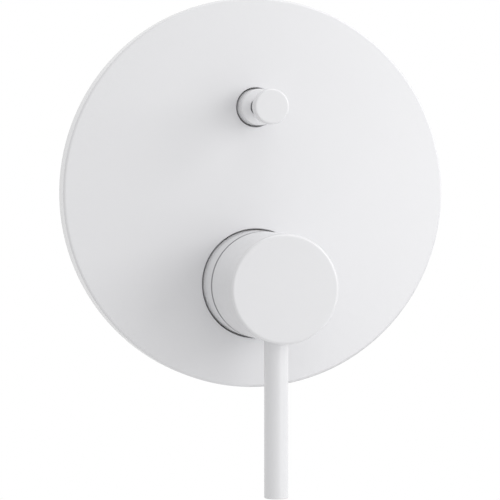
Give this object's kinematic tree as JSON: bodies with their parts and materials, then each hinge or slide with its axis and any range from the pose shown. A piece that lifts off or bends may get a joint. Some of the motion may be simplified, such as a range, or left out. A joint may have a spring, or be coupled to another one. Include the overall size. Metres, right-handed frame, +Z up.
{
  "type": "concealed bath shower mixer",
  "caption": "Wall-set bath and shower mixer: a round white plate, a cylindrical handle with a pin lever over a ceramic cartridge, a pull diverter knob and a brass body behind.",
  "frame": {"origin": "centre of the face plate on the finished wall, where the plate's rim meets the wall", "axes": "+Z up the wall, -Y out of the wall towards the user, +X to the user's right"},
  "size_m": [0.165, 0.1022, 0.208],
  "materials": {
    "white_plate": "satin white powder coat",
    "white_trim": "satin white powder coat",
    "foam_gasket": "closed-cell foam",
    "black_rubber": "moulded rubber",
    "grey_rubber": "moulded rubber",
    "cast_brass": "sand cast",
    "turned_brass": "turned",
    "grey_plastic": "moulded",
    "dark_plastic": "moulded",
    "pale_plastic": "moulded",
    "white_ceramic": "lapped",
    "bright_steel": "drawn"
  },
  "bodies": {
    "wall_body": {"face_plate": "white_plate", "sleeve": "white_trim", "diverter_collar": "white_trim", "plate_gasket": "foam_gasket", "sleeve_o_ring": "grey_rubber", "collar_o_ring": "grey_rubber", "port_seals": "black_rubber", "stem_o_rings": "black_rubber", "bush_o_ring": "black_rubber", "mixer_body": "cast_brass", "cartridge_nut": "turned_brass", "diverter_bush": "turned_brass", "cartridge_housing": "grey_plastic", "cartridge_base": "dark_plastic", "fixed_disc": "white_ceramic", "diverter_spring": "bright_steel"},
    "turret": {"spindle_guide": "pale_plastic", "spindle_pin": "bright_steel"},
    "handle": {"cartridge_spindle": "bright_steel", "handle_body": "white_trim", "handle_grub_screw": "bright_steel", "lever_rod": "white_trim"},
    "discs": {"disc_carrier": "dark_plastic", "moving_disc": "white_ceramic"},
    "diverter": {"diverter_stem": "turned_brass", "diverter_washer": "black_rubber", "diverter_nut": "turned_brass", "diverter_knob": "white_trim"}
  },
  "joints": [
    {"name": "temperature", "type": "hinge", "parent": "wall_body", "child": "turret", "pos_m": [0, -0.014, -0.0384], "axis": [0, 1, 0], "range_deg": [-45, 45]},
    {"name": "flow", "type": "hinge", "parent": "turret", "child": "handle", "pos_m": [0, -0.014, -0.0384], "axis": [-1, 0, 0], "range_deg": [0, 22]},
    {"name": "disc_slide", "type": "slide", "parent": "turret", "child": "discs", "axis": [0, 0, -1], "range_m": [0, 0.00385]},
    {"name": "diverter_pull", "type": "slide", "parent": "wall_body", "child": "diverter", "axis": [0, -1, 0], "range_m": [0, 0.008], "stiffness_N_per_m": 120, "springref_m": -0.01, "deforming": ["diverter_spring"]}
  ],
  "couplings": [
    {"joint": "disc_slide", "follows": "flow", "m_per_rad": 0.01}
  ]
}
